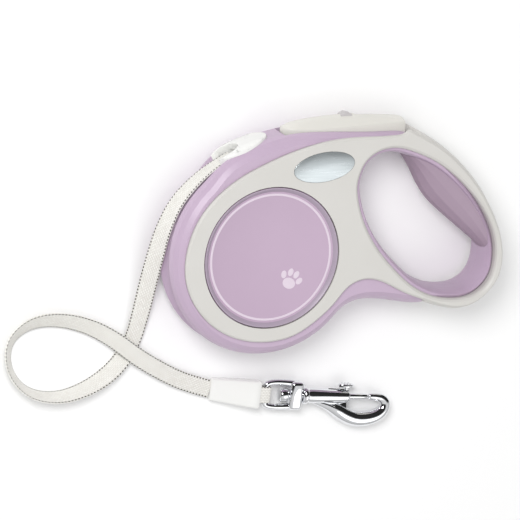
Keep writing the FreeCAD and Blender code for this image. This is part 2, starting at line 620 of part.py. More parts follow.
def snap_body():
    barrel = Part.makeCone(BARREL_R, BARREL_R - 0.5, BARREL_END - BARREL_START,
                           Vector(BARREL_START, 0, 0), Vector(1, 0, 0))
    collar = rod(4.3, (EYE_BLOCK[1] + 0.3, 0, 0), (BARREL_START + 0.2, 0, 0))
    bar = Part.makeLoft([bar_section(i) for i in range(len(HOOK_BAR))], True, False)
    body = barrel.multiFuse([collar, bar])
    bore = rod(BOLT_BORE_R, (26.0, 0, 0), (BARREL_END + 1, 0, 0))
    slot = box((35.4, 0, -1.1), (BARREL_END + 1, 6, 1.1))
    return body.cut(bore).cut(slot)


def swivel_rivet():
    neck = rod(NECK_R, (13.0, 0, 0), (EYE_BLOCK[1] + 0.3, 0, 0))
    head = rod(3.3, (10.2, 0, 0), (14.8, 0, 0))
    return neck.fuse(head.makeFillet(1.0, [e for e in head.Edges if e.Closed]))


def snap_bolt():
    shaft = rod(BOLT_R, (41.0, 0, 0), (56.0, 0, 0))
    return shaft.fuse(rod(0.9, (44.6, 0, 0), (44.6, 4.8, 0)))


def thumb_knob():
    knob = Part.Face(Part.Wire([Part.Ellipse(Vector(0, 0, 0), 3.8, 2.3).toShape()]))
    knob = knob.extrude(Vector(0, 0, 1.8))
    knob.Placement = FreeCAD.Placement(Vector(44.2, 4.8, 0), FreeCAD.Rotation(Vector(1, 0, 0), -90))
    return knob


save("snap_body", on_hook(snap_body()))
save("swivel_rivet", on_hook(swivel_rivet()))
save("snap_bolt", on_hook(snap_bolt()))
save("thumb_knob", on_hook(thumb_knob()))
bolt_spring = coil_spring(1.15, 0.2, 14.2, 16, Vector(26.4, 0, 0), Vector(1, 0, 0))
save("bolt_spring", on_hook(bolt_spring))
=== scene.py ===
import math

import bmesh
import bpy
from mathutils import Matrix, Vector


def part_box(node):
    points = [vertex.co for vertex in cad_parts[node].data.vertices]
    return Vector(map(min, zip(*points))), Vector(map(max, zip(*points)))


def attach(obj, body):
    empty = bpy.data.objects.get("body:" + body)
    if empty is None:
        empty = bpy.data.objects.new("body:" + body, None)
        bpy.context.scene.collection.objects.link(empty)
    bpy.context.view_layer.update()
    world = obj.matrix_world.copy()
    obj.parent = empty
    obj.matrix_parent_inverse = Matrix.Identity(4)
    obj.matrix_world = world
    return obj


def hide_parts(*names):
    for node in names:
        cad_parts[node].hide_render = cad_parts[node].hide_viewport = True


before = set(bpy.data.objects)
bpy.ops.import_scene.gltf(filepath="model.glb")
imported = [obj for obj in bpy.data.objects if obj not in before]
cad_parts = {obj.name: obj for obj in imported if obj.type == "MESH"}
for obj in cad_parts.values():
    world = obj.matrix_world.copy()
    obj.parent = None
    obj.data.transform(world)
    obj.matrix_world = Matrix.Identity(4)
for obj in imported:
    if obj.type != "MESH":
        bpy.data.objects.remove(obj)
bpy.context.view_layer.update()

# Shapes are made in millimetres, and new_piece turns them to metres.
MM = 0.001
MID = 14.0                          # plane where the two halves of the case meet
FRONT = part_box("front_cover")[1].z / MM

# The hook's own axes: X runs from the tape's sleeve to the hook's tip, Z is up.
ON_HOOK = Matrix.Translation((7.2, -72.2, 4.5)) @ Matrix.Rotation(math.radians(-4.8), 4, "Z")
# The case's rear half mirrors its front half.
MIRRORED = Matrix.Translation((0, 0, 2 * MID)) @ Matrix.Scale(-1, 4, (0, 0, 1))


# ---- camera ---------------------------------------------------------------------
VIEW_RIGHT = Vector((0.920, 0.052, 0.3886))
VIEW_UP = Vector((0.052, 0.966, -0.2523))
VIEW_BACK = Vector((-0.3886, 0.2523, 0.8862))
AIM = Vector((0, 0, FRONT)) - VIEW_RIGHT * 5.53 - VIEW_UP * 0.78
FIELD = 239.5                       # width of the picture, level with the badge
CAMERA_AWAY = 3000.0
SENSOR = 36.0


def make_camera():
    data = bpy.data.cameras.new("camera")
    data.sensor_width = SENSOR
    data.lens = SENSOR * CAMERA_AWAY / FIELD
    data.clip_start, data.clip_end = 0.1, 20
    camera = bpy.data.objects.new("camera", data)
    bpy.context.scene.collection.objects.link(camera)
    turn = Matrix((VIEW_RIGHT, VIEW_UP, VIEW_BACK)).transposed().to_4x4()
    camera.matrix_world = Matrix.Translation((AIM + VIEW_BACK * CAMERA_AWAY) * MM) @ turn
    bpy.context.scene.camera = camera


# ---- mesh helpers -----------------------------------------------------------------
def new_piece(name, bm, body, finish, place=None, smooth_angle=35, stands_for=()):
    """Turn a bmesh in millimetres into a shown piece that rides on a CAD body."""
    if place:
        bmesh.ops.transform(bm, matrix=place, verts=bm.verts)
    bmesh.ops.scale(bm, vec=(MM, MM, MM), verts=bm.verts)
    bmesh.ops.recalc_face_normals(bm, faces=bm.faces)
    mesh = bpy.data.meshes.new(name)
    bm.to_mesh(mesh)
    bm.free()
    piece = bpy.data.objects.new(name, mesh)
    bpy.context.scene.collection.objects.link(piece)
    mesh.shade_smooth()
    mesh.set_sharp_from_angle(angle=math.radians(smooth_angle))
    mesh.materials.append(finish)
    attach(piece, body)
    if stands_for:
        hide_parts(*stands_for)
    return piece


def smooth_line(points, steps=12):
    """Points along a smooth line that has these as its control points."""
    curve = bpy.data.curves.new("line", "CURVE")
    curve.dimensions = "3D"
    curve.resolution_u = steps
    spline = curve.splines.new("NURBS")
    spline.points.add(len(points) - 1)
    for point, place in zip(spline.points, points):
        point.co = (*place, 1)
    spline.order_u = 3
    spline.use_endpoint_u = True
    holder = bpy.data.objects.new("line", curve)
    mesh = bpy.data.meshes.new_from_object(holder)
    line = [v.co.copy() for v in mesh.vertices]
    bpy.data.meshes.remove(mesh)
    bpy.data.objects.remove(holder)
    bpy.data.curves.remove(curve)
    return line


def loft(rings, marks=None):
    """Skin a row of rings with the same number of points, each ring extruded to the next.

    marks holds a vector for every point, which the material reads as the attribute surface_place.
    """
    bm = bmesh.new()
    layer = bm.verts.layers.float_vector.new("surface_place") if marks else None
    row = [bm.verts.new(p) for p in rings[0]]
    edges = list(bm.faces.new(row).edges)
    for index, ring in enumerate(rings):
        if index:
            made = bmesh.ops.extrude_edge_only(bm, edges=edges)["geom"]
            fresh = {v for v in made if isinstance(v, bmesh.types.BMVert)}
            row = [next(e.other_vert(old) for e in old.link_edges if e.other_vert(old) in fresh) for old in row]
            edges = [bm.edges.get((a, b)) for a, b in zip(row, row[1:] + row[:1])]
        for column, vert in enumerate(row):
            vert.co = ring[column]
            if layer:
                vert[layer] = marks[index][column]
    bm.faces.new(row)
    return bm


def directions(line):
    """Unit direction of travel at each point of a line."""
    last = len(line) - 1
    return [(line[min(i + 1, last)] - line[max(i - 1, 0)]).normalized() for i in range(last + 1)]


def ribbon_rings(line, acrosses, section):
    """The section of a ribbon at each point of its line, its width along the given directions."""
    rings = []
    for place, along, across in zip(line, directions(line), acrosses):
        face = along.cross(across).normalized()
        rings.append([place + across * a + face * b for a, b in section])
    return rings


def ribbon_marks(line, section):
    """How far along and across the ribbon each point of its rings is, for the weave."""
    marks, run = [], 0.0
    for i, place in enumerate(line):
        run += (place - line[i - 1]).length if i else 0.0
        marks.append([Vector((run, across, up)) for across, up in section])
    return marks


def oval(long_r, short_r, count=16, turn=0.0):
    steps = [math.radians(turn + 360 * i / count) for i in range(count)]
    return [(long_r * math.cos(a), short_r * math.sin(a)) for a in steps]


def rounded_box_ring(half_a, half_b, corner, count=4):
    """Outline of a rectangle with round corners, as (a, b) pairs."""
    ring = []
    for quarter, (sa, sb) in enumerate(((1, 1), (-1, 1), (-1, -1), (1, -1))):
        for step in range(count + 1):
            angle = math.radians(90 * quarter + 90 * step / count)
            ring.append((sa * (half_a - corner) + corner * math.cos(angle),
                         sb * (half_b - corner) + corner * math.sin(angle)))
    return ring


def turned(profile, steps=40):
    """A round piece about the X axis from (along, radius) pairs, closed if it starts and ends there."""
    bm = bmesh.new()
    verts = [bm.verts.new((along, radius, 0)) for along, radius in profile]
    edges = [bm.edges.new(pair) for pair in zip(verts, verts[1:])]
    bmesh.ops.spin(bm, geom=verts + edges, cent=(0, 0, 0), axis=(1, 0, 0), angle=math.tau, steps=steps,
                   use_merge=True)
    bmesh.ops.remove_doubles(bm, verts=bm.verts, dist=1e-4)
    return bm


def rounded_block(size, centre, corner, segments=4):
    bm = bmesh.new()
    bmesh.ops.create_cube(bm, size=1.0)
    bmesh.ops.scale(bm, vec=size, verts=bm.verts)
    bmesh.ops.bevel(bm, geom=bm.edges[:], offset=corner, offset_type="OFFSET", segments=segments, profile=0.5,
                    affect="EDGES", material=-1)
    bmesh.ops.translate(bm, vec=centre, verts=bm.verts)
    return bm


def oval_button(long_r, short_r, low, high, edge, centre, turn=0.0, count=48, across=0.0):
    """A flat oval piece with a rounded top edge, its flat side down."""
    bm = bmesh.new()
    made = bmesh.ops.create_circle(bm, cap_ends=True, radius=1.0, segments=count)
    bmesh.ops.scale(bm, vec=(long_r, short_r, 1), verts=made["verts"])
    bmesh.ops.translate(bm, vec=(0, 0, low), verts=made["verts"])
    top = bmesh.ops.extrude_face_region(bm, geom=bm.faces[:])["geom"]
    verts = [v for v in top if isinstance(v, bmesh.types.BMVert)]
    bmesh.ops.translate(bm, vec=(0, 0, high - low), verts=verts)
    rim = [e for e in bm.edges if all(v in verts for v in e.verts)]
    bmesh.ops.bevel(bm, geom=rim, offset=edge, offset_type="OFFSET", segments=3, profile=0.5, affect="EDGES",
                    material=-1)
    bmesh.ops.rotate(bm, matrix=Matrix.Rotation(math.radians(across), 3, "X"), verts=bm.verts)
    bmesh.ops.rotate(bm, matrix=Matrix.Rotation(math.radians(turn), 3, "Z"), verts=bm.verts)
    bmesh.ops.translate(bm, vec=centre, verts=bm.verts)
    return bm


def join(bm, other):
    """Add another bmesh's faces to this one."""
    spare = bpy.data.meshes.new("spare")
    other.to_mesh(spare)
    other.free()
    bm.from_mesh(spare)
    bpy.data.meshes.remove(spare)
    return bm


def softened(node, radius, segments=2, bend=28):
    """A copy of a CAD node's mesh, in millimetres, with its sharp edges rounded over."""
    bm = bmesh.new()
    bm.from_mesh(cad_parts[node].data)
    bmesh.ops.scale(bm, vec=(1 / MM, 1 / MM, 1 / MM), verts=bm.verts)
    bmesh.ops.remove_doubles(bm, verts=bm.verts, dist=2e-3)
    bmesh.ops.dissolve_limit(bm, angle_limit=math.radians(0.15), verts=bm.verts, edges=bm.edges)
    sharp = [e for e in bm.edges if e.is_manifold and e.calc_face_angle(0) > math.radians(bend)]
    bmesh.ops.bevel(bm, geom=sharp, offset=radius, offset_type="OFFSET", segments=segments, profile=0.5,
                    affect="EDGES", clamp_overlap=False, material=-1)
    return bm


# ---- materials ------------------------------------------------------------------------
def linear(code):
    """Linear colour of an sRGB hex code."""
    parts = [int(code[i:i + 2], 16) / 255 for i in (1, 3, 5)]
    return tuple(c / 12.92 if c <= 0.04045 else ((c + 0.055) / 1.055) ** 2.4 for c in parts) + (1.0,)


def add(tree, kind, inputs=None, **settings):
    """Add a node with its settings, and set or link each of its inputs."""
    made = tree.nodes.new("ShaderNode" + kind)
    for name, value in settings.items():
        setattr(made, name, value)
    for key, value in (inputs or {}).items():
        if isinstance(value, bpy.types.NodeSocket):
            tree.links.new(value, made.inputs[key])
        else:
            made.inputs[key].default_value = value
    return made


def new_material(name):
    """A material with only its shader, ready for its textures."""
    material = bpy.data.materials.new(name)
    material.use_nodes = True
    tree = material.node_tree
    tree.nodes.clear()
    shader = add(tree, "BsdfPrincipled")
    add(tree, "OutputMaterial", {"Surface": shader.outputs[0]})
    return material, tree, shader


def moulded(name, colour, deep, gloss, grain_mm, relief_mm, ior=1.53):
    """Injection-moulded plastic: a faint cloudiness of colour, and the fine grain that its tool left."""
    material, tree, shader = new_material(name)
    place = add(tree, "TexCoord").outputs["Object"]
    cloud = add(tree, "TexNoise", {"Vector": place, "Scale": 60.0, "Detail": 2.0})
    tone = add(tree, "Mix", {"Factor": cloud.outputs["Fac"], "A": linear(colour), "B": linear(deep)},
               data_type="RGBA")
    tree.links.new(tone.outputs["Result"], shader.inputs["Base Color"])
    grain = add(tree, "TexNoise", {"Vector": place, "Scale": 1 / (grain_mm * MM), "Detail": 3.0})
    rough = add(tree, "MapRange", {"Value": grain.outputs["Fac"], "To Min": gloss - 0.05,
                                  "To Max": gloss + 0.07})
    tree.links.new(rough.outputs["Result"], shader.inputs["Roughness"])
    relief = add(tree, "Bump", {"Height": grain.outputs["Fac"], "Strength": 0.35, "Distance": relief_mm * MM})
    tree.links.new(relief.outputs["Normal"], shader.inputs["Normal"])
    shader.inputs["IOR"].default_value = ior
    return material


# ABS with a spark-eroded satin face: soft, broad highlights and no mirror.
LILAC = moulded("lilac_abs_satin", "#C2ADC3", "#BCA7BD", 0.36, 0.5, 0.02)
OFF_WHITE = moulded("off_white_abs_satin", "#D2D0CC", "#CDCBC6", 0.40, 0.5, 0.02)
BADGE = moulded("lilac_abs_fine_matt", "#BFA8BE", "#BBA4BA", 0.45, 0.35, 0.02)
# Painted shade: a darker grey-lilac for the badges' sloping recess walls, standing in for the shade that falls
# on them.
SLOPE_SHADE_PAINT = moulded("lilac_abs_painted_shade", "#AEA0B0", "#A99BAB", 0.34, 0.45, 0.02)
# Pad-printing ink lies a little glossier than the plastic under it.
PRINT = moulded("pale_pad_print_ink", "#DDCFDC", "#D9CAD8", 0.35, 0.4, 0.01)
# Acetal slides well, so the tape's guide has a polished, almost wet look.
GUIDE = moulded("white_acetal_polished", "#EBEBE9", "#E5E5E2", 0.2, 0.6, 0.008, ior=1.48)
BUTTON = moulded("warm_white_abs_satin", "#DEDCD6", "#D9D7D0", 0.33, 0.5, 0.015)
# Soft elastomer scatters light, so the grip looks dry and velvety.
RUBBER = moulded("mauve_elastomer_overmould", "#AA96A7", "#A28E9F", 0.6, 0.3, 0.03)
SLEEVE = moulded("white_vinyl_glossy", "#EFEFED", "#E9E9E6", 0.22, 0.8, 0.01)
LOCK = moulded("grey_abs_satin", "#C3BFC0", "#BCB8B9", 0.4, 0.4, 0.015)


def plated(name, tint, shade, gloss, haze_scale):
    """Metal plate: a mirror whose faint haze breaks up the reflections."""
    material, tree, shader = new_material(name)
    place = add(tree, "TexCoord").outputs["Object"]
    haze = add(tree, "TexNoise", {"Vector": place, "Scale": haze_scale, "Detail": 3.0})
    rough = add(tree, "MapRange", {"Value": haze.outputs["Fac"], "To Min": gloss, "To Max": gloss + 0.08})
    tree.links.new(rough.outputs["Result"], shader.inputs["Roughness"])
    tone = add(tree, "Mix", {"Factor": haze.outputs["Fac"], "A": linear(tint), "B": linear(shade)},
               data_type="RGBA")
    tree.links.new(tone.outputs["Result"], shader.inputs["Base Color"])
    shader.inputs["Metallic"].default_value = 1.0
    return material


# Decorative chrome over a polished zinc casting: black and white reflections with sharp borders.
CHROME = plated("chrome_plate_polished", "#F2F3F5", "#E4E5E8", 0.04, 220.0)
# Bright zinc on screws and springs: the same mirror gone dull.
STEEL = plated("zinc_plated_steel", "#C9CACC", "#B5B6B9", 0.28, 400.0)


def brushed_foil(name):
    """Silvered aluminium foil, brushed along the label, which stretches its highlights across it."""
    material, tree, shader = new_material(name)
    place = add(tree, "TexCoord").outputs["Object"]
    turned_place = add(tree, "Mapping", {"Vector": place, "Rotation": (0, 0, math.radians(-7)),
                                         "Scale": (60.0, 2600.0, 60.0)})
    strokes = add(tree, "TexNoise", {"Vector": turned_place.outputs["Vector"], "Scale": 1.0, "Detail": 3.0})
    tone = add(tree, "Mix", {"Factor": strokes.outputs["Fac"], "A": linear("#D3DADC"), "B": linear("#C0C8CB")},
               data_type="RGBA")
    tree.links.new(tone.outputs["Result"], shader.inputs["Base Color"])
    rough = add(tree, "MapRange", {"Value": strokes.outputs["Fac"], "To Min": 0.2, "To Max": 0.4})
    tree.links.new(rough.outputs["Result"], shader.inputs["Roughness"])
    shader.inputs["Metallic"].default_value = 0.75
    return material


FOIL = brushed_foil("aluminium_foil_brushed")


def woven(name):
    """Woven polyester: a staggered weave, drawn about twice as coarse as the yarn so that it shows.

    A dark thread is stitched in and out along each edge.
    """
    material, tree, shader = new_material(name)
    place = add(tree, "Attribute", attribute_name="surface_place").outputs["Vector"]
    weave = add(tree, "TexBrick", {"Vector": place, "Color1": linear("#F2F1EC"), "Color2": linear("#E8E6E0"),
                                   "Mortar": linear("#CFCCC5"), "Scale": 1.0, "Mortar Size": 0.11,
                                   "Mortar Smooth": 0.6, "Brick Width": 1.5, "Row Height": 0.8})
    parts = add(tree, "SeparateXYZ", {"Vector": place})
    across = add(tree, "Math", {0: parts.outputs["Y"]}, operation="ABSOLUTE")
    edge = add(tree, "Math", {0: across.outputs[0], 1: 3.88, 2: 0.3}, operation="COMPARE")
    side = add(tree, "Math", {0: parts.outputs["Y"]}, operation="SIGN")
    shifted = add(tree, "Math", {0: side.outputs[0], 1: 0.5, 2: parts.outputs["X"]}, operation="MULTIPLY_ADD")
    beat = add(tree, "Math", {0: shifted.outputs[0], 1: 1.6}, operation="FLOORED_MODULO")
    stitch = add(tree, "Math", {0: beat.outputs[0], 1: 0.8}, operation="LESS_THAN")
    dark = add(tree, "Math", {0: edge.outputs[0], 1: stitch.outputs[0]}, operation="MULTIPLY")
    tone = add(tree, "Mix", {"Factor": dark.outputs[0], "A": weave.outputs["Color"], "B": linear("#3F3932")},
               data_type="RGBA")
    tree.links.new(tone.outputs["Result"], shader.inputs["Base Color"])
    fuzz = add(tree, "TexNoise", {"Vector": place, "Scale": 2.5, "Detail": 2.0})
    height = add(tree, "Math", {0: weave.outputs["Fac"], 1: -1.0, 2: fuzz.outputs["Fac"]},
                 operation="MULTIPLY_ADD")
    relief = add(tree, "Bump", {"Height": height.outputs[0], "Strength": 0.6, "Distance": 0.12 * MM})
    tree.links.new(relief.outputs["Normal"], shader.inputs["Normal"])
    shader.inputs["Roughness"].default_value = 0.8
    shader.inputs["Sheen Weight"].default_value = 0.15
    return material


TAPE = woven("polyester_tape_woven")

# ---- the free tape ------------------------------------------------------------------------
TAPE_WIDTH = 8.5
TAPE_THICK = 0.8
# Control points of the tape, each with its lean: 0 stands on its edge, 90 lies flat.
TAPE_ROUTE = [
    (-17.5, 46.5, 14.0, 0), (-26.8, 41.2, 14.0, 4), (-35.3, 34.0, 13.6, 12), (-43.0, 25.0, 13.0, 22),
    (-48.2, 12.5, 11.9, 34), (-50.6, -1.0, 9.6, 48), (-52.2, -15.0, 6.2, 64), (-53.8, -29.5, 3.2, 80),
    (-56.3, -43.5, 1.1, 88), (-63.5, -55.3, 1.9, 66), (-76.5, -64.0, 3.5, 40), (-93.0, -68.6, 4.3, 26),
    (-109.0, -65.2, 4.5, 22), (-118.8, -53.5, 4.4, 30), (-119.4, -39.5, 4.2, 44), (-109.0, -31.0, 3.9, 56),
    (-94.5, -30.2, 3.6, 62), (-79.5, -34.3, 3.6, 68), (-67.0, -41.2, 3.9, 74), (-55.0, -50.6, 3.9, 86),
    (-42.0, -58.6, 2.9, 88), (-29.5, -65.0, 2.2, 90), (-16.8, -68.9, 2.1, 90),
]


def make_tape():
    line = smooth_line([p[:3] for p in TAPE_ROUTE])
    leans = [math.radians(p.x) for p in smooth_line([(p[3], 0, 0) for p in TAPE_ROUTE])]
    acrosses = []
    for along, lean in zip(directions(line), leans):
        left = Vector((0, 0, 1)).cross(along).normalized()
        acrosses.append(along.cross(left) * math.cos(lean) + left * math.sin(lean))
    section = rounded_box_ring(TAPE_WIDTH / 2, TAPE_THICK / 2, 0.35 * TAPE_THICK, 3)
    bm = loft(ribbon_rings(line, acrosses, section), ribbon_marks(line, section))
    tape = new_piece("free_tape", bm, "case", TAPE, stands_for=["leash_tape"])


def make_tape_loop():
    """The tape's end, which comes out of the sleeve, goes round the eye's bar and back."""
    half_gap = 1.95
    bar_u = 3.2
    line = smooth_line([(-3.0, 0, half_gap), (0.5, 0, half_gap), (bar_u + 0.9, 0, half_gap),
                        (bar_u + 2.2, 0, 1.3), (bar_u + 2.2, 0, -1.3),
                        (bar_u + 0.9, 0, -half_gap), (0.5, 0, -half_gap), (-3.0, 0, -half_gap)])
    section = rounded_box_ring(3.8, TAPE_THICK / 2, 0.3, 3)
    bm = loft(ribbon_rings(line, [Vector((0, 1, 0))] * len(line), section), ribbon_marks(line, section))
    return new_piece("tape_loop", bm, "case", TAPE, ON_HOOK, stands_for=["tape_end_loop"])


# Sleeve, along the hook's axis: place, sideways offset, half width, bottom and top.
SLEEVE_SECTIONS = [
    (-24.2, 1.3, 4.9, -4.1, -1.2), (-23.7, 1.25, 5.4, -4.3, -0.7), (-20.0, 1.05, 5.6, -4.25, -0.2),
    (-12.0, 0.6, 6.1, -3.8, 1.4), (-5.0, 0.2, 6.5, -3.3, 2.6), (-0.5, 0.0, 6.8, -2.9, 2.9),
    (0.0, 0.0, 6.4, -2.6, 2.6), (-0.1, 0.0, 5.4, -1.9, 1.9), (-2.2, 0.0, 5.2, -1.7, 1.7),
]


def make_sleeve():
    rings = []
    for u, v, half, low, high in SLEEVE_SECTIONS:
        outline = rounded_box_ring(half, (high - low) / 2, min(1.2, 0.42 * (high - low)), 4)
        rings.append([Vector((u, v + a, (low + high) / 2 + b)) for a, b in outline])
    bm = loft(rings)
    return new_piece("moulded_sleeve", bm, "case", SLEEVE, ON_HOOK,
                     stands_for=["tape_sleeve"])


# ---- swivel eye and snap hook ------------------------------------------------------------
EYE_FRAME = [
    (17.0, 5.6, 1.7), (11.0, 6.0, 1.5), (6.6, 5.9, 1.45), (3.6, 5.2, 1.4), (3.2, 3.6, 1.4), (3.2, 1.0, 1.4),
    (3.2, -1.0, 1.4), (3.2, -3.6, 1.4), (3.6, -5.2, 1.4), (6.6, -5.9, 1.45), (11.0, -6.0, 1.5),
    (17.0, -5.6, 1.7),
]
HOOK_BAR = [
    (28.0, -2.8, 1.0), (34.5, -4.0, 2.2), (40.0, -6.1, 3.4), (45.0, -9.0, 3.7), (50.4, -10.9, 3.7),
    (56.4, -10.8, 3.7), (62.0, -9.2, 3.4), (65.4, -6.2, 2.9), (65.9, -2.6, 2.5), (63.6, -0.4, 2.1),
    (60.0, 0.1, 1.8), (57.2, 0.1, 1.6), (56.5, 0.1, 1.1), (56.4, 0.1, 0.3),
]
RIVET_PROFILE = [
    (10.2, 0.0), (10.2, 2.2), (10.5, 2.9), (11.2, 3.3), (13.6, 3.3), (14.3, 3.0), (14.8, 2.3), (14.8, 1.9),
    (22.3, 1.9), (22.3, 0.0),
]
BARREL_PROFILE = [
    (22.1, 1.9), (22.1, 3.6), (22.4, 4.1), (22.9, 4.35), (23.9, 4.35), (24.4, 4.1), (24.7, 3.7), (25.2, 3.6),
    (25.8, 3.75), (34.0, 3.55), (35.4, 3.5), (40.0, 3.35), (44.9, 3.2), (45.6, 3.05), (46.0, 2.7), (46.0, 1.7),
    (45.6, 1.5), (26.4, 1.5), (26.0, 0.0),
]
BOLT_PROFILE = [
    (41.0, 0.0), (41.0, 1.2), (41.3, 1.45), (55.3, 1.45), (55.8, 1.2), (56.0, 0.7), (56.05, 0.0),
]


def bar(stations, flatness, steps, count=20):
    """A round bar of changing radius that lies in the hook's plane."""
    line = smooth_line(stations, steps)
    flat = [Vector((p.x, p.y, 0)) for p in line]
    rings = []
    for place, along, station in zip(flat, directions(flat), line):
        side = Vector((-along.y, along.x, 0))
        radius = station.z
        rings.append([place + side * a + Vector((0, 0, b)) for a, b in oval(radius, radius * flatness, count)])
    return loft(rings)


def make_eye():
    bm = bar(EYE_FRAME, 1.0, 8)
    join(bm, rounded_block((6.4, 13.6, 6.4), (18.6, 0, 0), 1.7))
    return new_piece("eye_frame", bm, "swivel_eye", CHROME, ON_HOOK, 50, ["swivel_eye"])


def cut_slot(bm, start, end, half_width, depth_radius):
    """Sink the part of the barrel's wall that faces the knob, for the knob's stem to slide in."""
    wall = [f for f in bm.faces
            if start < f.calc_center_median().x < end and f.calc_center_median().y > 2.0
            and abs(f.calc_center_median().z) < half_width]
    sunk = bmesh.ops.extrude_face_region(bm, geom=wall)["geom"]
    for vert in (v for v in sunk if isinstance(v, bmesh.types.BMVert)):
        vert.co.y = depth_radius
    bmesh.ops.delete(bm, geom=wall, context="FACES_ONLY")


def make_web():
    """The sloping web that fills the crotch between the barrel and the hook."""
    return loft([[Vector((u, y, z)) for y, z in ((-2.0, 0.4), (v, 2.8), (v, -2.8), (-2.0, -0.4))]
                 for u, v in ((33.0, -2.6), (37.0, -3.8), (41.0, -6.2), (45.3, -9.0))])


def make_snap():
    bm = turned(BARREL_PROFILE)
    cut_slot(bm, 35.0, 45.7, 1.3, 1.7)
    barrel = new_piece("snap_barrel", bm, "snap_hook", CHROME, ON_HOOK, 40, ["snap_body"])
    hook_mesh = join(bar(HOOK_BAR, 0.92, 10, 28), make_web())
    hook = new_piece("hook_bar", hook_mesh, "snap_hook", CHROME, ON_HOOK, 60)
    rivet = new_piece("rivet_head", turned(RIVET_PROFILE), "snap_hook", CHROME, ON_HOOK, 40,
                      ["swivel_rivet"])
    bolt = new_piece("bolt_rod", turned(BOLT_PROFILE, 32), "snap_bolt", CHROME, ON_HOOK, 50,
                     ["snap_bolt"])
    return [barrel, hook, rivet, bolt, make_knob()]


def make_knob():
    """Oval thumb pad on its stem, with three ribs across its top."""
    stem = turned([(1.0, 0.0), (1.0, 0.95), (4.9, 0.95), (4.9, 0.0)], 24)
    bmesh.ops.rotate(stem, matrix=Matrix.Rotation(math.radians(90), 3, "Z"), verts=stem.verts)
    bmesh.ops.translate(stem, vec=(44.6, 0, 0), verts=stem.verts)
    bm = join(stem, oval_button(3.8, 2.3, 0.0, 1.5, 0.55, (44.2, 4.6, 0), across=-90))
    for step in (-1, 0, 1):
        join(bm, rounded_block((0.7, 0.6, 3.0), (44.2 + 1.5 * step, 6.1, 0), 0.2, 2))
    return new_piece("thumb_pad", bm, "snap_bolt", CHROME, ON_HOOK, 40, ["thumb_knob"])


# ---- brake button -----------------------------------------------------------------------
# Sections along the button: x, half width, height of the side's edge and of the crown.
BUTTON_SECTIONS = [
    (7.4, 1.9, 58.2, 59.0), (9.5, 3.9, 58.2, 59.9), (13.0, 5.2, 58.2, 61.0), (17.8, 5.9, 58.0, 61.8),
    (26.0, 6.3, 58.2, 62.7),
    (35.0, 6.4, 58.8, 63.3), (44.0, 6.4, 59.2, 63.5), (54.0, 6.4, 59.6, 62.9), (62.5, 6.4, 59.8, 61.9),
    (67.4, 6.4, 59.5, 61.2),
]
BUTTON_BASE = 54.9
BUTTON_DISH = (43.0, 63.5, 0.5, 0.6)     # from x, to x, share of the half width, depth


def button_ring(x, half, edge, crown, inset):
    """One section of the button, from its base up one side, over the crown and down the other."""
    start, end, share, depth = BUTTON_DISH
    lengthwise = min(max((x - start) / 2.0, 0.0), 1.0) * min(max((end - x) / 1.2, 0.0), 1.0)
    sides = [(1.0, BUTTON_BASE), (1.0, edge - 1.0), (0.995, edge - 0.35), (0.965, edge + 0.05)]
    ring = [Vector((x, y, MID - half * s)) for s, y in sides]
    for step in range(-12, 13):
        s = 0.92 * step / 12
        dish = depth * lengthwise * min(max((share - abs(s)) / 0.07, 0.0), 1.0)
        rise = (crown - edge - 0.25) * (1 - s * s / 0.85)
        ring.append(Vector((x, edge + 0.25 + rise - dish, MID + half * s)))
    ring += [Vector((x, y, MID + half * s)) for s, y in reversed(sides)]
    middle = Vector((x, (BUTTON_BASE + edge) / 2, MID))
    return [middle + (p - middle) * inset for p in ring]


def make_button():
    places = smooth_line([(x, half, edge) for x, half, edge, _ in BUTTON_SECTIONS], 10)
    crowns = smooth_line([(x, crown, 0) for x, _, _, crown in BUTTON_SECTIONS], 10)
    rings = [button_ring(places[0].x - 0.5, places[0].y, places[0].z, crowns[0].y, 0.55)]
    rings += [button_ring(p.x, p.y, p.z, c.y, 1.0) for p, c in zip(places, crowns)][:-2]
    last, top = places[-1], crowns[-1].y
    for back, inset in ((0.45, 1.0), (0.15, 0.975), (0.0, 0.93)):
        rings.append(button_ring(last.x - back, last.y, last.z, top, inset))
    new_piece("brake_lever", loft(rings), "brake_button", BUTTON,
              stands_for=["brake_button"])
    ridge = loft([[Vector((x, y, MID + z)) for x, y in
                   ((35.9, 62.7), (42.0, 62.7), (41.4, 63.7), (39.6, 64.4), (38.4, 64.4), (36.6, 63.7))]
                  for z in (-2.3, 2.3)])
    bmesh.ops.bevel(ridge, geom=ridge.edges[:], offset=0.25, offset_type="OFFSET", segments=2, profile=0.5,
                    affect="EDGES", material=-1)
    new_piece("lock_ridge", ridge, "lock_slider", LOCK, stands_for=["lock_slider"])


# ---- badges, labels and the case --------------------------------------------------------------
# Badge, from its middle out: height and radius.
DISH_PROFILE = [(26.4, 0.0), (26.4, 31.0), (26.6, 31.4), (27.75, 33.0), (27.7, 33.2), (25.6, 33.2), (25.6, 0.0)]
# Ring of painted shade laid over the badge's sloping wall: height and radius.
SLOPE_SHADE_PROFILE = [(26.3, 31.1), (26.75, 31.3), (27.85, 32.8), (27.85, 33.15), (26.0, 33.15), (26.3, 31.1)]
RING_PROFILE = [(29.2, -0.2), (29.2, 0.12), (29.35, 0.2), (30.15, 0.2), (30.3, 0.12), (30.3, -0.2)]
PAW_TURN = -25
PAW_PLACE = (10.5, -11.5, 0)


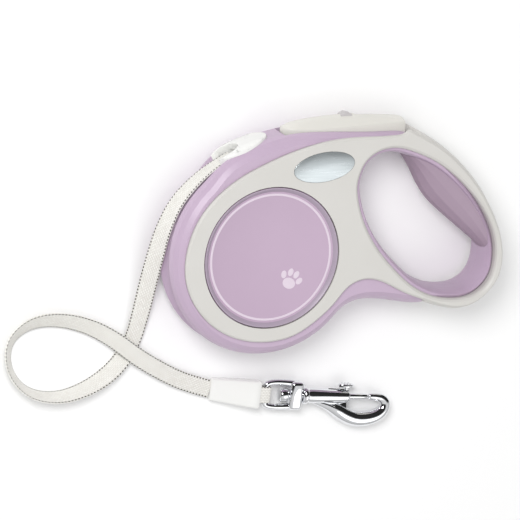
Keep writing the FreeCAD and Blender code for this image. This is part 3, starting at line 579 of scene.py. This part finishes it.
def badge_print(low):
    """The pale ring and paw printed on a badge whose face is at this height, as thin raised films."""
    bm = bmesh.new()
    verts = [bm.verts.new((radius, 0, low + rise)) for radius, rise in RING_PROFILE]
    edges = [bm.edges.new(pair) for pair in zip(verts, verts[1:] + verts[:1])]
    bmesh.ops.spin(bm, geom=verts + edges, cent=(0, 0, 0), axis=(0, 0, 1), angle=math.tau, steps=128,
                   use_merge=True)
    pads = [(0.0, -1.6, 3.3, 2.6, 0)] + [(side * x, y, 1.35, 1.9, -side * turn) for side in (-1, 1)
                                         for x, y, turn in ((1.6, 3.4, 6), (4.3, 1.2, 24))]
    place = Matrix.Translation(PAW_PLACE) @ Matrix.Rotation(math.radians(PAW_TURN), 4, "Z")
    for x, y, long_r, short_r, turn in pads:
        pad = oval_button(long_r, short_r, low - 0.3, low + 0.1, 0.08, (x, y, 0), turn, 32)
        bmesh.ops.transform(pad, matrix=place, verts=pad.verts)
        join(bm, pad)
    return bm


def make_case():
    """The guide and labels with their edges rounded over, the dished badges with a darker ring of painted shade
    over each sloping rim, and finishes for the CAD nodes.
    """
    rounded = [("tape_guide", GUIDE, 0.4), ("front_label_plate", FOIL, 0.2),
               ("rear_label_plate", FOIL, 0.1)]
    for node, finish, radius in rounded:
        new_piece(node.replace("_", "-"), softened(node, radius), "case", finish, stands_for=[node])
    upright = Matrix.Rotation(math.radians(-90), 4, "Y")
    for node, side in (("front_badge", upright), ("rear_badge", MIRRORED @ upright)):
        new_piece(node.replace("_", "-"), turned(DISH_PROFILE, 128), "case", BADGE, side,
                  stands_for=[node])
        # A darker ring over the sloping wall paints the shade of the recess.
        new_piece(node + "_painted_shade_ring", turned(SLOPE_SHADE_PROFILE, 128), "case", SLOPE_SHADE_PAINT, side)
    new_piece("front_badge_print", badge_print(DISH_PROFILE[0][0]), "case", PRINT)
    finishes = {"lilac_plastic": LILAC, "grip_rubber": RUBBER, "steel": STEEL, "spring_steel": STEEL,
                "reel_plastic": LOCK, "off_white_plastic": OFF_WHITE, "chrome": CHROME, "woven_tape": TAPE}
    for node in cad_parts.values():
        materials = node.data.materials
        if materials[0].name in finishes:
            materials[0] = finishes[materials[0].name]


make_camera()
fittings = [make_tape_loop(), make_sleeve(), make_eye(), *make_snap()]
make_tape()
make_button()
make_case()


# ---- floor and light ------------------------------------------------------------------------
def make_floor():
    """Matt white paper floor."""
    bm = bmesh.new()
    bmesh.ops.create_grid(bm, x_segments=1, y_segments=1, size=6.0)
    mesh = bpy.data.meshes.new("floor")
    bm.to_mesh(mesh)
    bm.free()
    floor = bpy.data.objects.new("floor", mesh)
    bpy.context.scene.collection.objects.link(floor)
    material, tree, shader = new_material("white_paper_matt")
    shader.inputs["Base Color"].default_value = linear("#FAFAFA")
    shader.inputs["Roughness"].default_value = 0.95
    shader.inputs["Specular IOR Level"].default_value = 0.2
    mesh.materials.append(material)


def make_lamp(name, place, size, power, aim=(0.0, -0.01, 0.0)):
    data = bpy.data.lights.new(name, "AREA")
    data.shape = "DISK"
    data.size = size
    data.energy = power
    lamp = bpy.data.objects.new(name, data)
    lamp.location = place
    lamp.rotation_euler = (Vector(place) - Vector(aim)).to_track_quat("Z", "Y").to_euler()
    bpy.context.scene.collection.objects.link(lamp)


def make_sky(bright, dark):
    """A white studio, brightest overhead, whose dark side beyond the case shows only in reflections."""
    world = bpy.data.worlds.new("studio")
    world.use_nodes = True
    tree = world.node_tree
    tree.nodes.clear()
    way = add(tree, "TexCoord").outputs["Generated"]
    lean = add(tree, "VectorMath", {0: way, 1: (-0.1, 0.98, -0.05)}, operation="DOT_PRODUCT")
    share = add(tree, "MapRange", {"Value": lean.outputs["Value"], "From Min": -0.15, "From Max": -0.05,
                                   "To Min": bright, "To Max": dark})
    mirrored = add(tree, "LightPath").outputs["Is Glossy Ray"]
    share = add(tree, "Mix", {"Factor": mirrored, "A": bright, "B": share.outputs["Result"]})
    height = add(tree, "SeparateXYZ", {"Vector": way}).outputs["Z"]
    rise = add(tree, "MapRange", {"Value": height, "From Max": 1.0, "To Min": 0.68, "To Max": 1.14})
    power = add(tree, "Math", {0: share.outputs["Result"], 1: rise.outputs["Result"]}, operation="MULTIPLY")
    back = add(tree, "Background", {"Strength": power.outputs[0]})
    add(tree, "OutputWorld", {"Surface": back.outputs[0]})
    bpy.context.scene.world = world


make_floor()
make_lamp("key", (-0.55, 0.5, 0.9), 0.5, 7.0)
make_lamp("fill", (0.5, -0.6, 0.9), 0.8, 1.5)
make_sky(0.84, 0.03)
bpy.context.scene.view_settings.view_transform = "Standard"
